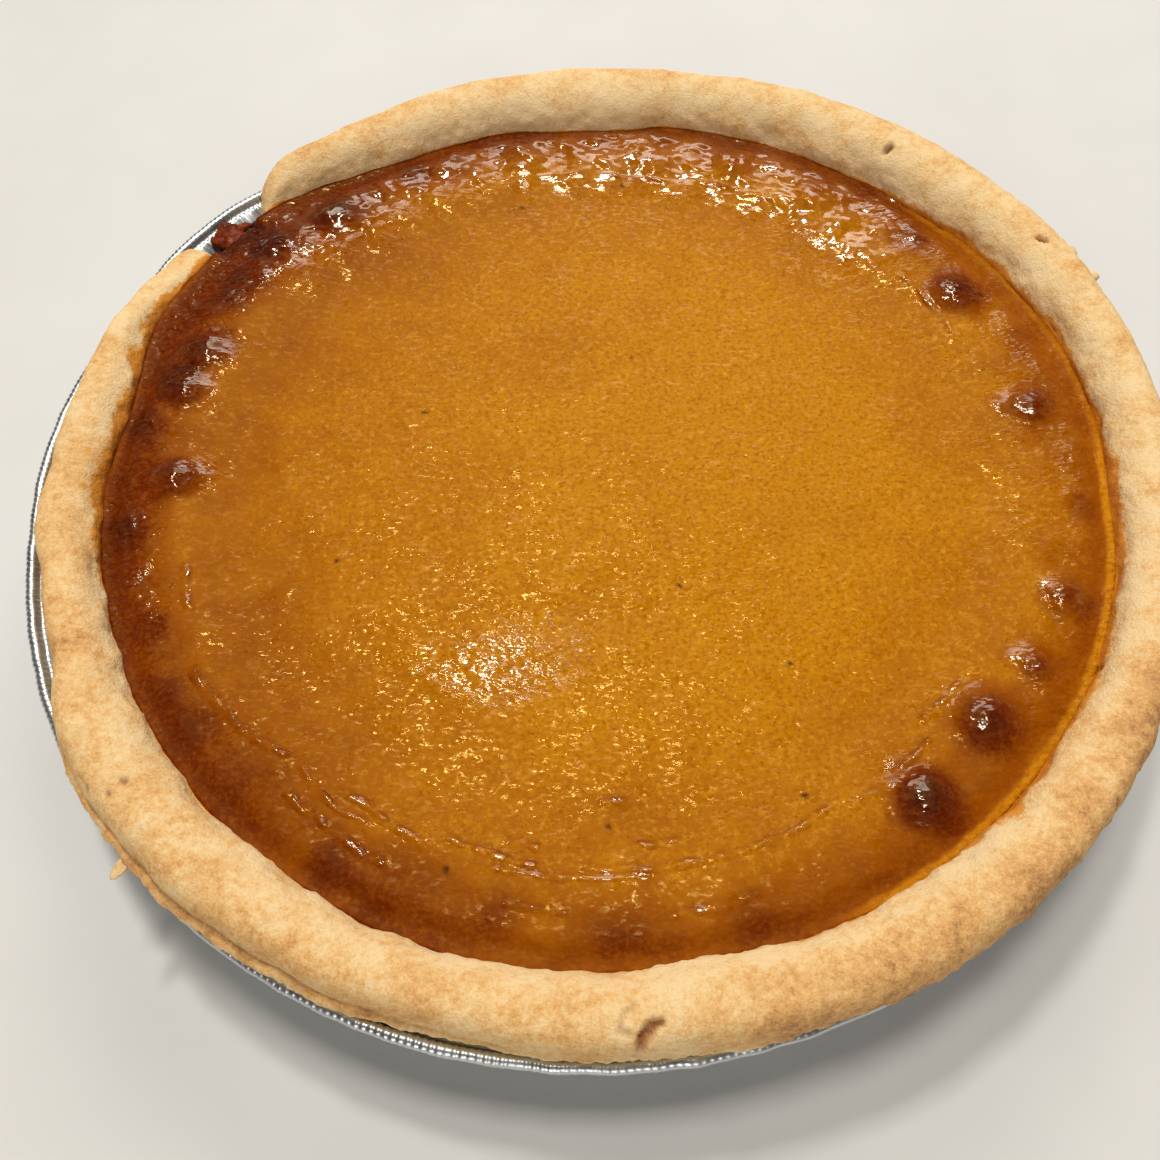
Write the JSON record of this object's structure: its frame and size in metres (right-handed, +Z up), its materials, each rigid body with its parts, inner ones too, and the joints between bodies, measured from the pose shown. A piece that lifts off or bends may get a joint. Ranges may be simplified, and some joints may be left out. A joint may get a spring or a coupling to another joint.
{
  "type": "pumpkin pie",
  "caption": "Whole baked pumpkin pie with a thick rolled pastry rim and a set custard filling, in its own pleated foil tin.",
  "frame": {"origin": "centre of the tin's flat base, on the table", "axes": "+Z up out of the pie; +Y away from the side that the picture was taken from; +X to the right of that view; the missing piece of the rim is at 142 degrees from +X towards +Y"},
  "size_m": [0.3072, 0.3058, 0.0457],
  "materials": {
    "foil": "bright crimped foil",
    "pastry": null,
    "baked_filling": null
  },
  "bodies": {
    "root": {"foil_tin": "foil", "crust": "pastry", "filling": "baked_filling"}
  },
  "joints": []
}
